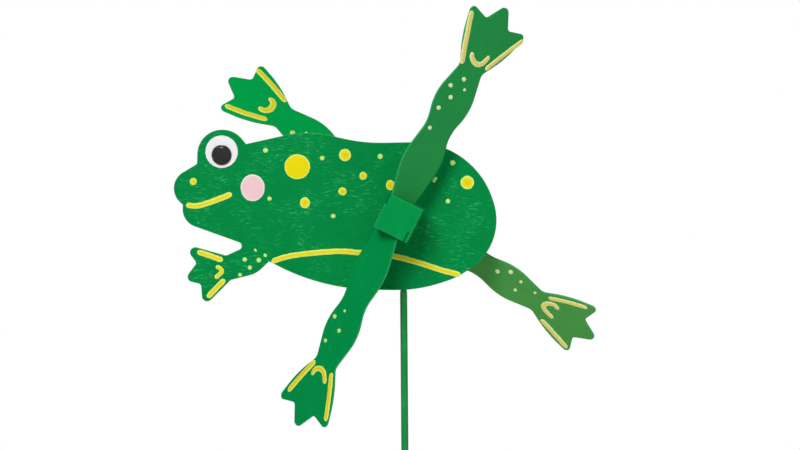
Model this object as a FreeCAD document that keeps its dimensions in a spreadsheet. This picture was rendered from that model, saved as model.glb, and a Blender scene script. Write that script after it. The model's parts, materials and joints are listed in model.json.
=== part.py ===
"""Frog whirligig: a flat wooden frog on a stick, with two turning pairs of legs.

The frog's plate stands across the view and faces -X. One axle runs through it along Y and carries a
hub on each side, with two webbed legs in each hub, set at an angle so that the wind turns them.
The origin is the middle of the stick's lower end, with +Z up. Everything is in millimetres.
"""
import FreeCAD, Part
import math
import os
import Sketcher

from FreeCAD import Placement, Rotation, Vector

# Driving dimensions: name, value and what it measures.
SIZES = [
    ("plate_thickness", 3.0, "plywood of the frog's body"),
    ("body_length", 179.1, "frog from snout to rump, which its drawn outline follows"),
    ("edge_round", 0.4, "softened edges of the frog under its paint"),
    ("stick_length", 300.0, "whole stick, from its lower end to its top"),
    ("stick_diameter", 4.0, "round stick"),
    ("stick_flat", 0.6, "depth of the flat that is glued to the plate"),
    ("sanding", 0.2, "the glued stretch of the stick is sanded this much thinner, on the radius"),
    ("sanded_below_plate", 1.5, "sanded stretch that shows below the plate"),
    ("stick_to_axle", 8.0, "from the top of the stick up to the axle's axis"),
    ("stick_bevel", 0.4, "bevel at the top of the stick; its lower end is cut plain"),
    ("axle_diameter", 4.0, "axle rod"),
    ("axle_seat", 12.0, "depth of the axle in each hub"),
    ("glue_gap", 0.05, "room for glue round a glued piece"),
    ("running_clearance", 0.05, "between the axle and the tube that it turns in, on the radius"),
    ("tube_diameter", 6.0, "outside of the bearing tube in the plate"),
    ("end_play", 0.3, "between the plate and each bead"),
    ("bead_diameter", 12.0, "barrel bead at its middle"),
    ("bead_end_diameter", 8.0, "flat end of a bead"),
    ("front_bead_length", 12.0, "front bead along the axle"),
    ("rear_bead_length", 16.0, "rear bead, longer to keep the rear legs clear of the stick"),
    ("hub_side", 20.0, "edge of the hub cube"),
    ("hub_round", 0.6, "softened edges of the hub"),
    ("slot_depth", 5.8, "sawn slot in each end of a hub"),
    ("root_gap", 0.6, "between the root of a leg and the floor of its slot"),
    ("slot_offset", 1.0, "how far the saw missed the hub's middle at the lower leg"),
    ("leg_thickness", 1.0, "thin plywood of the legs"),
    ("leg_edge_round", 0.3, "softened edges of the legs"),
    ("leg_pitch_angle", 45.0, "turn of each leg about its own length, in degrees"),
    ("front_turn_angle", 63.0, "front pair: its upper leg above +X, in degrees"),
    ("rear_turn_angle", 144.0, "rear pair: its upper leg above +X, in degrees"),
    ("root_half_width", 7.6, "leg where it enters its hub, from its middle line"),
    ("thigh_at", 33.0, "widest place of the thigh, from the axle"),
    ("thigh_half_width", 13.5, "thigh"),
    ("knee_at", 52.0, "narrowest place at the knee, from the axle"),
    ("knee_half_width", 10.2, "knee"),
    ("calf_at", 69.0, "widest place of the calf, from the axle"),
    ("calf_half_width", 13.5, "calf"),
    ("ankle_at", 88.0, "ankle, from the axle"),
    ("ankle_half_width", 9.1, "ankle"),
    ("ankle_hollow_radius", 4.4, "hollow at the ankle"),
    ("foot_side_radius", 60.0, "slightly round side of the foot, from the ankle to the outer toe"),
    ("outer_toe_at", 116.4, "middle of the outer toes' round tips, from the axle"),
    ("outer_toe_half_width", 19.5, "outer toes' round tips, from the middle line"),
    ("outer_toe_radius", 2.6, "round tip of an outer toe"),
    ("middle_toe_at", 123.0, "middle of the middle toe's round tip, from the axle"),
    ("middle_toe_radius", 3.6, "round tip of the middle toe"),
    ("web_radius", 2.8, "hollow between two toes"),
    ("eye_ahead", 100.0, "middle of the eye, ahead of the axle"),
    ("eye_above", 36.0, "middle of the eye, above the axle"),
    ("eye_diameter", 18.0, "wiggle eye"),
    ("eye_back_thickness", 1.0, "white back of the eye"),
    ("eye_rim_height", 0.6, "straight rim of the clear dome"),
    ("eye_dome_height", 4.0, "clear dome, from the white back to its top"),
    ("eye_dome_wall", 0.5, "wall of the clear dome"),
    ("pupil_diameter", 11.0, "loose black disc"),
    ("pupil_thickness", 1.0, "loose black disc"),
    ("pupil_clearance", 0.1, "between the pupil and the dome that it leans on"),
    ("brow_radius", 13.9, "round brow behind the eye"),
    ("brow_below_eye", 1.7, "middle of the brow, below the middle of the eye"),
]

doc = FreeCAD.newDocument("frog_whirligig")
sheet = doc.addObject("Spreadsheet::Sheet", "sizes")
for row, (name, value, meaning) in enumerate(SIZES, start=1):
    sheet.set(f"A{row}", name)
    sheet.set(f"B{row}", str(value))
    sheet.set(f"C{row}", meaning)
    sheet.setAlias(f"B{row}", name)
doc.recompute()


def size(name):
    """Value of a driving dimension."""
    return float(sheet.get(name))


# Places that follow from the sizes.
FRONT = -1
REAR = 1
TURN_AXIS = Vector(0, -1, 0)
plate_face = size("plate_thickness") / 2
plate_y = -(plate_face + size("stick_diameter") / 2 - size("stick_flat"))
axle_centre = Vector(0, plate_y, size("stick_length") + size("stick_to_axle"))
bead_inner = plate_face + size("end_play")
slot_floor = size("hub_side") / 2 - size("slot_depth")


def bead_length(side):
    return size("front_bead_length") if side == FRONT else size("rear_bead_length")


def hub_centre(side):
    """Middle of a hub."""
    from_plate = bead_inner + bead_length(side) + size("hub_side") / 2
    return axle_centre + Vector(0, side * from_plate, 0)


# Outlines. Each is a chain of circles joined by straight runs that touch both neighbours. A circle is
# (x, y, radius), the chain runs anticlockwise, and a negative radius is a hollow in the outline.

def straight_run(first, second):
    """The two ends of the straight run from one circle of a chain to the next."""
    across = second[0] - first[0]
    along = second[1] - first[1]
    tilt = math.asin((first[2] - second[2]) / math.hypot(across, along))
    heading = math.atan2(along, across) + tilt
    outward = Vector(math.sin(heading), -math.cos(heading), 0)
    start = Vector(first[0], first[1], 0) + outward * first[2]
    end = Vector(second[0], second[1], 0) + outward * second[2]
    return start, end


def chain_edges(circles):
    """Lines and arcs of a closed outline, for a sketch. A radius of 0 is a sharp corner."""
    count = len(circles)
    runs = [straight_run(circles[i], circles[(i + 1) % count]) for i in range(count)]
    edges = []
    for i, (x, y, radius) in enumerate(circles):
        start, end = runs[i - 1][1], runs[i][0]
        if radius:
            first = math.atan2(start.y - y, start.x - x)
            last = math.atan2(end.y - y, end.x - x)
            if radius < 0:
                first, last = last, first
            circle = Part.Circle(Vector(x, y, 0), Vector(0, 0, 1), abs(radius))
            edges.append(Part.ArcOfCircle(circle, first, last))
        edges.append(Part.LineSegment(*runs[i]))
    return edges


def meeting_point(first, first_reach, second, second_reach, side):
    """The point at two given distances from two circles' middles. side is 1 to the right of the way
    from the first circle to the second, and -1 to its left."""
    across = second[0] - first[0]
    along = second[1] - first[1]
    apart = math.hypot(across, along)
    ahead = (apart ** 2 + first_reach ** 2 - second_reach ** 2) / (2 * apart)
    aside = side * math.sqrt(first_reach ** 2 - ahead ** 2)
    x = first[0] + (ahead * across + aside * along) / apart
    y = first[1] + (ahead * along - aside * across) / apart
    return x, y


def hollow_between(first, first_gap, second, second_gap, radius):
    """A hollow in the corner between two bulges of a chain, with a short straight run to each.

    It is no rounder than the radius, unless the bulges are too far apart for that.
    """
    first_reach = first[2] + first_gap
    second_reach = second[2] + second_gap
    apart = math.hypot(second[0] - first[0], second[1] - first[1])
    radius = max(radius, 0.6 * (apart - first_reach - second_reach))
    x, y = meeting_point(first, first_reach + radius, second, second_reach + radius, 1)
    return x, y, -radius


# The frog's body, seen from the front: x to the right, y up. The numbers are millimetres from the axle
# for a body of the length that it was drawn at, and those of the face are from the eye's middle.
DRAWN_LENGTH = 179.1


def frog_outline():
    scale = size("body_length") / DRAWN_LENGTH
    face = -size("eye_ahead")

    def drawn(x, y, radius, start=0.0):
        return start + x * scale, y * scale, radius * scale

    brow = (face, size("eye_above") - size("brow_below_eye"), size("brow_radius"))
    snout = drawn(-17.0, 15.7, 10.3, face)
    hump = drawn(-53.0, -8.7, 54.8)
    head = [
        brow,
        hollow_between(brow, 0.7 * scale, snout, 2.8 * scale, 1.5 * scale),
        snout,
        drawn(-22.9, 6.5, -0.5, face),   # corner of the mouth
        drawn(-12.5, 4.0, 10.0, face),   # jaw
        drawn(-91.9, -16.4, -2.2),       # deep end of the gap over the front leg
    ]
    front_leg = [
        drawn(-98.9, -19.2, -2.5),       # wrist, upper side
        drawn(-115.9, -19.9, 2.8),       # upper toe
        drawn(-117.4, -25.8, -1.9),
        drawn(-117.3, -33.5, 2.9),       # middle toe
        drawn(-114.6, -39.2, -2.0),
        drawn(-109.4, -44.3, 2.9),       # lower toe
        drawn(-94.7, -38.1, -3.0),       # wrist, lower side
        drawn(-88.6, -19.2, 13.9),       # elbow
        drawn(-74.4, -25.6, -0.5),       # corner between the front leg and the belly
    ]
    trunk = [
        drawn(-14.5, 78.5, 119.5),       # belly
        drawn(-3.8, 38.4, 79.6),
        drawn(12.4, 1.2, 39.2),
        drawn(19.9, -2.7, 31.9),         # rump
        drawn(6.4, -5.0, 45.5),
        drawn(-11.1, 134.2, -93.9),      # dip of the back
        hump,
        hollow_between(hump, 4.4 * scale, brow, 0.4 * scale, 0.6 * scale),
    ]
    return head + front_leg + trunk


def both_rounds(bulge, waist):
    """The most that the radii at the top of a bulge and at the waist beside it can add up to."""
    along = waist[0] - bulge[0]
    step = bulge[1] - waist[1]
    return (along ** 2 + step ** 2) / (2 * step)


# One side of a leg that points along x from the axle. bow is how far the leg's middle curves out to
# that side: nothing at its root and at its middle toe, and all of it halfway.
def leg_side(bow):
    root_start = slot_floor + size("root_gap")

    def edge_point(place):
        """The leg's edge at a named place along it."""
        x = size(f"{place}_at")
        share = (x - root_start) / (size("middle_toe_at") - root_start)
        return x, size(f"{place}_half_width") + bow * 4 * share * (1 - share)

    thigh, knee, calf, ankle, toe = map(edge_point, ("thigh", "knee", "calf", "ankle", "outer_toe"))
    thigh_round = 0.58 * both_rounds(thigh, knee)
    knee_round = 0.4 * min(both_rounds(thigh, knee), both_rounds(calf, knee))
    calf_round = 0.59 * min(both_rounds(calf, knee), both_rounds(calf, ankle))
    ankle_round = size("ankle_hollow_radius")
    ankle_hollow = (ankle[0], ankle[1] + ankle_round, -ankle_round)
    toe_tip = (*toe, size("outer_toe_radius"))
    foot_round = size("foot_side_radius")
    run = 0.2   # short straight run between two rounds
    foot = meeting_point(
        ankle_hollow, foot_round + ankle_round + run, toe_tip, foot_round - toe_tip[2] + run, 1)
    web_at = (toe[0] + size("middle_toe_at")) / 2
    web_spread = toe[1] / 2 + 0.5
    return [
        (root_start, size("root_half_width"), 0),
        (thigh[0], thigh[1] - thigh_round, thigh_round),
        (knee[0], knee[1] + knee_round, -knee_round),
        (calf[0], calf[1] - calf_round, calf_round),
        ankle_hollow,
        (*foot, foot_round),
        toe_tip,
        (web_at, web_spread, -size("web_radius")),
    ]


def leg_outline(bow):
    upper = leg_side(bow)
    lower = [(x, -y, radius) for x, y, radius in leg_side(-bow)]
    middle_toe = (size("middle_toe_at"), 0, size("middle_toe_radius"))
    return lower + [middle_toe] + upper[::-1]


# Helpers that make one kind of feature each.
def new_body(name):
    return doc.addObject("PartDesign::Body", name)


def sketch_on(body, role, name, edges=()):
    """A sketch on one of the body's own origin planes."""
    sketch = body.newObject("Sketcher::SketchObject", name)
    plane = next(f for f in body.Origin.OriginFeatures if f.Role == role)
    sketch.AttachmentSupport = [(plane, "")]
    sketch.MapMode = "FlatFace"
    if edges:
        sketch.addGeometry(list(edges), False)
    return sketch


def add_circle(sketch, radius_expression):
    """A circle about the sketch's origin, with its radius tied to the sheet."""
    index = sketch.addGeometry(Part.Circle(Vector(), Vector(0, 0, 1), 1), False)
    sketch.addConstraint(Sketcher.Constraint("Coincident", index, 3, -1, 1))
    radius = sketch.addConstraint(Sketcher.Constraint("Radius", index, 1))
    sketch.setExpression(f"Constraints[{radius}]", radius_expression)


def symmetric_pad(body, sketch, name, length_expression):
    pad = body.newObject("PartDesign::Pad", name)
    pad.Profile = sketch
    pad.SideType = "Symmetric"
    pad.setExpression("Length", length_expression)
    return pad


def round_flat_faces(body, pad, name, radius_expression):
    """Round the edges of a plate's two large faces."""
    doc.recompute()
    faces = pad.Shape.Faces
    large = sorted(range(len(faces)), key=lambda i: faces[i].Area)[-2:]
    fillet = body.newObject("PartDesign::Fillet", name)
    fillet.Base = (pad, [f"Face{i + 1}" for i in large])
    fillet.setExpression("Radius", radius_expression)
    return fillet


def cylinder(name, radius_expression, height_expression):
    shape = doc.addObject("Part::Cylinder", name)
    shape.setExpression("Radius", radius_expression)
    shape.setExpression("Height", height_expression)
    return shape


def cut(name, base, tool):
    result = doc.addObject("Part::Cut", name)
    result.Base = base
    result.Tool = tool
    return result


def revolved(name, edges):
    """A body turned about its own Z from half a section in its XZ plane."""
    body = new_body(name)
    sketch = sketch_on(body, "XZ_Plane", f"{name}_section", edges)
    turn = body.newObject("PartDesign::Revolution", f"{name}_turn")
    turn.Profile = sketch
    turn.ReferenceAxis = (sketch, ["V_Axis"])
    turn.Angle = 360
    return body


# The frog's plate, with the hole for its bearing.
def make_plate():
    body = new_body("body_plate")
    sketch = sketch_on(body, "XZ_Plane", "frog_outline", chain_edges(frog_outline()))
    pad = symmetric_pad(body, sketch, "plate_pad", "sizes.plate_thickness")
    round_flat_faces(body, pad, "plate_edges", "sizes.edge_round")
    hole_sketch = sketch_on(body, "XZ_Plane", "bearing_circle")
    add_circle(hole_sketch, "sizes.tube_diameter / 2 + sizes.glue_gap")
    hole = body.newObject("PartDesign::Pocket", "bearing_hole")
    hole.Profile = hole_sketch
    hole.SideType = "Symmetric"
    hole.setExpression("Length", "sizes.plate_thickness * 2")
    body.Placement = Placement(axle_centre, Rotation())
    return body


# The tube in the plate that the axle turns in.
def make_bearing_tube():
    body = new_body("bearing_tube")
    sketch = sketch_on(body, "XZ_Plane", "tube_ring")
    add_circle(sketch, "sizes.tube_diameter / 2")
    add_circle(sketch, "sizes.axle_diameter / 2 + sizes.running_clearance")
    symmetric_pad(body, sketch, "tube_pad", "sizes.plate_thickness")
    body.Placement = Placement(axle_centre, Rotation())
    return body


# The stick. Where it is glued to the plate's back it is sanded a little thinner and has a flat.
def make_stick():
    radius = size("stick_diameter") / 2
    bare = radius - size("sanding")
    length = size("stick_length")
    bevel = size("stick_bevel")
    plate_foot = axle_centre.z + lowest_point_over(0)
    sanded_from = plate_foot - size("sanded_below_plate")
    corners = [
        (0, 0),
        (radius, 0),
        (radius, sanded_from),
        (bare, sanded_from),
        (bare, length - bevel),
        (bare - bevel, length),
        (0, length),
    ]
    points = [Vector(x, y, 0) for x, y in corners]
    edges = [Part.LineSegment(a, b) for a, b in zip(points, points[1:] + points[:1])]
    rod = revolved("stick_rod", edges)
    flat = doc.addObject("Part::Box", "stick_flat_tool")
    flat.setExpression("Length", "sizes.stick_diameter * 2")
    flat.setExpression("Width", "sizes.stick_diameter")
    flat.setExpression("Height", "sizes.stick_length")
    flat.setExpression("Placement.Base.x", "-sizes.stick_diameter")
    flat.setExpression("Placement.Base.y", "-sizes.stick_diameter * 1.5 + sizes.stick_flat")
    flat.Placement.Base.z = plate_foot
    return cut("stick", rod, flat)


def lowest_point_over(x):
    """Height of the frog's lower edge at one place along it, from the axle."""
    wire = Part.Wire(Part.__sortEdges__([edge.toShape() for edge in chain_edges(frog_outline())]))
    frog = Part.Face(wire)
    probe = Part.makeLine(Vector(x, frog.BoundBox.YMin - 1, 0), Vector(x, 0, 0))
    return probe.common(frog).BoundBox.YMin


# The axle, glued into both hubs.
def make_axle():
    between_hubs = (
        "sizes.plate_thickness + 2 * sizes.end_play"
        " + sizes.front_bead_length + sizes.rear_bead_length"
    )
    seats = "2 * (sizes.axle_seat - sizes.glue_gap)"
    axle = cylinder("axle", "sizes.axle_diameter / 2", f"{between_hubs} + {seats}")
    rear_reach = bead_inner + bead_length(REAR) + size("axle_seat") - size("glue_gap")
    start = axle_centre + Vector(0, rear_reach, 0)
    axle.Placement = Placement(start, Rotation(Vector(1, 0, 0), 90))
    return axle


# A barrel bead that keeps a hub clear of the plate.
def make_bead(name, side):
    bore = size("axle_diameter") / 2 + 2 * size("running_clearance")
    end = size("bead_end_diameter") / 2
    belly = size("bead_diameter") / 2
    length = bead_length(side)
    bulge = Part.Arc(Vector(end, 0, 0), Vector(belly, length / 2, 0), Vector(end, length, 0))
    edges = [
        Part.LineSegment(Vector(bore, 0, 0), Vector(end, 0, 0)),
        bulge,
        Part.LineSegment(Vector(end, length, 0), Vector(bore, length, 0)),
        Part.LineSegment(Vector(bore, length, 0), Vector(bore, 0, 0)),
    ]
    bead = revolved(name, edges)
    start = axle_centre + Vector(0, side * bead_inner, 0)
    bead.Placement = Placement(start, Rotation(Vector(1, 0, 0), -90 * side))
    return bead


# A hub: a wooden cube with a blind hole for the axle and a slanted saw slot in each end.
def make_hub(name, side, turn):
    block = doc.addObject("Part::Box", f"{name}_block")
    for edge in ("Length", "Width", "Height"):
        block.setExpression(edge, "sizes.hub_side")
    for direction in "xyz":
        block.setExpression(f"Placement.Base.{direction}", "-sizes.hub_side / 2")
    doc.recompute()
    softened = doc.addObject("Part::Fillet", f"{name}_softened")
    softened.Base = block
    soft = size("hub_round")
    softened.Edges = [(i + 1, soft, soft) for i in range(len(block.Shape.Edges))]
    hole = cylinder(
        f"{name}_hole", "sizes.axle_diameter / 2 + sizes.glue_gap", "sizes.axle_seat")
    mouth = Vector(0, -side * size("hub_side") / 2, 0)
    hole.Placement = Placement(mouth, Rotation(Vector(1, 0, 0), -90 * side))
    shape = cut(f"{name}_bored", softened, hole)
    for number, (half_turn, offset) in enumerate(((0, 0), (180, size("slot_offset"))), start=1):
        slot = doc.addObject("Part::Box", f"{name}_slot_tool_{number}")
        slot.setExpression("Length", "sizes.hub_side")
        slot.setExpression("Width", "sizes.hub_side * 2")
        slot.setExpression("Height", "sizes.leg_thickness + 2 * sizes.glue_gap")
        face = offset - size("leg_thickness") / 2 - size("glue_gap")
        corner = Vector(slot_floor, -size("hub_side"), face)
        pitch = Rotation(Vector(1, 0, 0), 90 + size("leg_pitch_angle"))
        turned = Placement(Vector(), Rotation(TURN_AXIS, half_turn) * pitch)
        slot.Placement = turned * Placement(corner, Rotation())
        last = number == 2
        shape = cut(name if last else f"{name}_slot_{number}", shape, slot)
    shape.Placement = Placement(hub_centre(side), Rotation(TURN_AXIS, turn))
    return shape


# A webbed leg. aside is how far it was glued off the hub's middle along its slot, offset is how far the
# slot itself lies off the middle, lean is the leg's slant in degrees, and bow is how far it is curved.
def make_leg(name, side, turn, aside, lean, offset=0, bow=0):
    body = new_body(name)
    sketch = sketch_on(body, "XY_Plane", f"{name}_outline", chain_edges(leg_outline(bow)))
    pad = symmetric_pad(body, sketch, f"{name}_pad", "sizes.leg_thickness")
    round_flat_faces(body, pad, f"{name}_edges", "sizes.leg_edge_round")
    hub_end = Vector(size("hub_side") / 2, 0, 0)
    glued = Placement(hub_end + Vector(0, aside, offset), Rotation(Vector(0, 0, 1), lean))
    glued = glued * Placement(-hub_end, Rotation())
    pitch = Placement(Vector(), Rotation(Vector(1, 0, 0), 90 + size("leg_pitch_angle")))
    turned = Placement(hub_centre(side), Rotation(TURN_AXIS, turn))
    body.Placement = turned * pitch * glued
    return body


# The wiggle eye: a white back, a loose pupil and a clear dome, seen from its flat back outwards.
def eye_place(height):
    """Place on the plate's front for a piece whose own Z points out of the plate."""
    out = Rotation(Vector(1, 0, 0), 90)
    middle = Vector(-size("eye_ahead"), -plate_face - height, size("eye_above"))
    return Placement(axle_centre + middle, out)


def make_eye():
    back = cylinder("eye_back", "sizes.eye_diameter / 2", "sizes.eye_back_thickness")
    back.Placement = eye_place(0)

    rim = size("eye_diameter") / 2
    wall = size("eye_dome_wall")
    rim_height = size("eye_rim_height")
    top = size("eye_dome_height")
    inner = rim - wall

    def cap(edge_radius, base, height):
        """An arc from a rim at one radius and height up to the axis."""
        rise = height - base
        ball = (edge_radius ** 2 + rise ** 2) / (2 * rise)
        half = math.asin(edge_radius / ball) / 2
        middle = Vector(ball * math.sin(half), height - ball * (1 - math.cos(half)), 0)
        return Part.Arc(Vector(edge_radius, base, 0), middle, Vector(0, height, 0)), ball

    outer_arc, _ = cap(rim, rim_height, top)
    inner_arc, ball = cap(inner, 0, top - wall)
    edges = [
        Part.LineSegment(Vector(inner, 0, 0), Vector(rim, 0, 0)),
        Part.LineSegment(Vector(rim, 0, 0), Vector(rim, rim_height, 0)),
        outer_arc,
        Part.LineSegment(Vector(0, top, 0), Vector(0, top - wall, 0)),
        inner_arc,
    ]
    dome = revolved("eye_dome", edges)
    dome.Placement = eye_place(size("eye_back_thickness"))

    # The pupil has dropped until its front edge leans on the inside of the dome.
    depth = ball - (top - wall) + size("pupil_thickness")
    room = math.sqrt(ball ** 2 - depth ** 2)
    drop = room - size("pupil_clearance") - size("pupil_diameter") / 2
    pupil = cylinder("eye_pupil", "sizes.pupil_diameter / 2", "sizes.pupil_thickness")
    pupil.Placement = eye_place(size("eye_back_thickness"))
    pupil.Placement.Base = pupil.Placement.Base - Vector(0, 0, drop)
    return [back, pupil, dome]


# The whole toy. The legs were cut and glued in by hand, each a little off its hub's middle.
front_turn = size("front_turn_angle")
rear_turn = size("rear_turn_angle")
low_slot = size("slot_offset")
pieces = [
    make_plate(),
    make_bearing_tube(),
    make_stick(),
    *make_eye(),
    make_axle(),
    make_bead("front_bead", FRONT),
    make_bead("rear_bead", REAR),
    make_hub("front_hub", FRONT, front_turn),
    make_hub("rear_hub", REAR, rear_turn),
    make_leg("front_upper_leg", FRONT, front_turn, aside=3.5, lean=-2.4, bow=2.0),
    make_leg("front_lower_leg", FRONT, front_turn + 180, aside=-1.9, lean=1.75, offset=low_slot),
    make_leg("rear_upper_leg", REAR, rear_turn, aside=-2.0, lean=-1.35, bow=-0.9),
    make_leg("rear_lower_leg", REAR, rear_turn + 180, aside=1.0, lean=3.6, offset=low_slot),
]
doc.recompute()

for item in doc.Objects:
    if "Invalid" in item.State or "Error" in item.State:
        raise RuntimeError(f"{item.Name} did not build: {item.State}")

os.makedirs("parts", exist_ok=True)
for piece in pieces:
    piece.Label = piece.Name
    shape = piece.Shape
    if shape.isNull() or not shape.isValid():
        raise RuntimeError(f"{piece.Label} has no valid shape")
    if len(shape.Solids) != 1:
        raise RuntimeError(f"{piece.Label} is {len(shape.Solids)} solids")
    shape.exportStep(f"parts/{piece.Label}.step")
    print(f"{piece.Label}: {shape.Volume:.1f} cubic mm")
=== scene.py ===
"""The looks of a frog whirligig: brushed paint, hand-painted marks, a wiggle eye and a studio.

The frame holds the shapes of the plywood, the stick, the hubs and the eye. This file gives them
their paint, adds the marks that were dabbed on by hand, and sets the floor, the light and the
camera. A mark's place is in millimetres on the flat piece that carries it: x along the piece from
the axle, and y across it.
"""
import json
import math
from typing import NamedTuple

import bpy
from bpy.props import FloatProperty, FloatVectorProperty, IntProperty, PointerProperty
from mathutils import Matrix, Vector


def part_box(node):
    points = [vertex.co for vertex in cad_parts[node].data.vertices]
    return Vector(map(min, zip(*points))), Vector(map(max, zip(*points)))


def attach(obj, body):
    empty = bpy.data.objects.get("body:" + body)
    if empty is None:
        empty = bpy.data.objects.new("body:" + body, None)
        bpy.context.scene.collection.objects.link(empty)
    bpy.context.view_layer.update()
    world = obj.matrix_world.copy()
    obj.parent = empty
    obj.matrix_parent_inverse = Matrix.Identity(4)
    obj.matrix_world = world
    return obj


bl_info = {
    "name": "Frog whirligig paint shop",
    "version": (1, 0, 0),
    "blender": (4, 5, 0),
    "location": "3D View > Sidebar > Frog",
    "description": "Paints a plywood frog whirligig and sets it in a studio",
    "category": "Object",
}

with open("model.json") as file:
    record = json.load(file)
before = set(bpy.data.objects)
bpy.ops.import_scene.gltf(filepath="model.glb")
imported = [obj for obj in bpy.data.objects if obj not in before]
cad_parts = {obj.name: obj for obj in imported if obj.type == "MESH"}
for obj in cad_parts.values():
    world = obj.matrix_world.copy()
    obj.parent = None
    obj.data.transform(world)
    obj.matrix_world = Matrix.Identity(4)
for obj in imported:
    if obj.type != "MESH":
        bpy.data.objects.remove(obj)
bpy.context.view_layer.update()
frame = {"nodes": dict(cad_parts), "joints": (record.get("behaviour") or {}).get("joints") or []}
NODES = frame["nodes"]

MM = 0.001

# Places that come from the frame.
AXLE = Vector(frame["joints"][0]["pos_m"])
PLATE_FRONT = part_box("body_plate")[0].y
STICK_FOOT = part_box("stick")[0].z
HUB_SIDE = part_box("front_hub")[1].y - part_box("front_hub")[0].y


# Marks. A dot is x, y, its radius and how much taller than wide it is. A stroke is the half width
# of the brush and the points that it passes.
class Dot(NamedTuple):
    x: float
    y: float
    radius: float
    tall: float = 1.0


class Stroke(NamedTuple):
    half_width: float
    points: list


BODY_DOTS = [
    Dot(-116.3, 19.6, 2.0),
    Dot(-54.0, 7.4, 2.8, 1.1),
    Dot(-21.6, 22.1, 2.2),
    Dot(-33.1, 13.6, 2.4, 0.95),
    Dot(-6.6, 16.9, 2.4, 1.2),
    Dot(35.9, 18.1, 3.8),
    Dot(-31.5, 33.7, 3.4),
]
LARGE_DOT = [Dot(-58.1, 27.4, 7.2, 0.97)]
BODY_SPECKS = [
    Dot(-75.7, 36.6, 1.4),
    Dot(-73.8, 9.8, 1.2),
    Dot(-44.2, 32.1, 1.3),
    Dot(-38.4, 0.0, 1.3),
    Dot(-12.0, 32.8, 1.5),
    Dot(27.9, 29.0, 1.5),
    Dot(25.2, 7.9, 1.3),
    Dot(-76.5, -21.6, 1.0),
    Dot(-88.0, -23.9, 1.3),
    Dot(-80.1, -24.3, 1.3),
    Dot(-85.2, -28.4, 1.2),
    Dot(-90.7, -32.5, 1.1, 0.9),
]
CHEEK = [Dot(-83.1, 15.9, 6.8, 1.1)]
BODY_STROKES = [
    Stroke(1.6, [(-120.6, 6.4), (-114.7, 6.0), (-109.1, 7.3), (-102.6, 9.6), (-94.7, 12.6)]),
    Stroke(1.55, [(-73.0, -25.2), (-61.3, -21.8), (-38.0, -19.6), (-24.5, -20.3), (-6.0, -22.2),
                  (8.7, -26.0), (21.9, -30.3), (31.9, -32.9)]),
    Stroke(1.55, [(-114.6, -19.4), (-107.7, -21.7), (-100.2, -24.4)]),
    Stroke(1.55, [(-99.3, -34.9), (-104.3, -40.0), (-109.3, -45.1)]),
    Stroke(1.25, [(-104.4, -27.7), (-102.1, -28.7), (-100.9, -30.5), (-102.7, -32.5),
                  (-104.9, -34.2)]),
]
BODY_DASHES = [
    Stroke(0.9, [(17.0, 18.3), (19.1, 21.2)]),
    Stroke(0.6, [(-82.6, -17.9), (-81.2, -19.7)]),
]


class Leg(NamedTuple):
    """How a leg was glued in, as the frame has it, and what is painted on it.

    Its slot lies offset millimetres off the hub's middle, and it was glued aside along the slot.
    The marks on a leg that faces away from the lamp are painted paler: painted light, standing in
    for the light that leg doesn't get.
    """

    node: str
    hub: str
    turn: float
    offset: float
    aside: float
    lean: float
    # Whether this leg's marks get the paler paints, which are painted light.
    pale: bool
    dots: list
    strokes: list


LEGS = [
    Leg(
        "front_upper_leg", "front_hub", 63.0, 0.0, 3.5, -2.4, True,
        [
            Dot(82.3, 3.0, 1.3, 1.25),
            Dot(76.0, 9.4, 1.25, 1.25),
            Dot(77.5, -1.0, 0.85, 1.25),
            Dot(70.4, 5.3, 1.25, 1.25),
            Dot(62.4, 9.4, 1.2, 1.25),
            Dot(50.7, 8.1, 1.15, 1.25),
        ],
        [
            Stroke(1.75, [(88.8, 9.5), (97.1, 13.5), (104.3, 16.5), (116.0, 21.3)]),
            Stroke(1.45, [(92.4, -7.4), (104.8, -14.6), (116.5, -21.8)]),
            Stroke(1.55, [(96.9, 7.5), (94.0, 4.5), (92.7, 0.3), (94.5, -3.5), (99.9, -5.5)]),
        ],
    ),
    Leg(
        "front_lower_leg", "front_hub", 243.0, 1.0, -1.9, 1.75, False,
        [
            Dot(59.1, -3.9, 0.8, 1.25),
            Dot(64.5, -9.4, 1.25, 1.25),
            Dot(69.9, -1.2, 1.2, 1.25),
            Dot(78.5, -7.8, 1.1, 1.25),
        ],
        [
            Stroke(1.8, [(90.9, -8.2), (101.9, -13.2), (113.6, -17.9)]),
            Stroke(1.65, [(91.6, 7.7), (103.4, 14.3), (115.5, 20.0)]),
            Stroke(1.6, [(98.7, -5.7), (95.1, -5.3), (93.2, -2.1), (94.0, 2.3), (98.7, 6.8)]),
        ],
    ),
    Leg(
        "rear_upper_leg", "rear_hub", 144.0, 0.0, -2.0, -1.35, False,
        [Dot(78.7, 4.7, 1.5, 1.3), Dot(72.9, -1.5, 0.7, 1.3)],
        [
            Stroke(1.9, [(93.4, -10.9), (106.6, -15.0), (119.0, -17.7)]),
            Stroke(1.8, [(94.4, 8.0), (106.2, 14.0), (117.7, 18.3)]),
            Stroke(1.9, [(102.2, -5.8), (98.3, -4.7), (97.2, 0.3), (99.4, 3.9), (103.0, 4.6)]),
        ],
    ),
    Leg(
        "rear_lower_leg", "rear_hub", 324.0, 1.0, 1.0, 3.6, True,
        [
            Dot(61.2, 2.9, 1.35, 1.25),
            Dot(67.7, 8.6, 1.4, 1.25),
            Dot(75.5, 6.4, 1.0, 1.25),
            Dot(75.2, -2.2, 1.05, 1.25),
            Dot(85.4, 5.2, 0.85, 1.25),
        ],
        [
            Stroke(1.5, [(93.2, 7.8), (103.8, 14.0), (114.2, 18.7)]),
            Stroke(1.75, [(96.3, -11.0), (107.1, -15.2), (117.6, -19.6)]),
            Stroke(1.6, [(101.6, 4.2), (97.7, 5.4), (93.8, 2.3), (94.4, -1.9), (101.7, -4.7)]),
        ],
    ),
]
LEG_THICKNESS = 1.0
LEG_PITCH = 135.0

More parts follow.
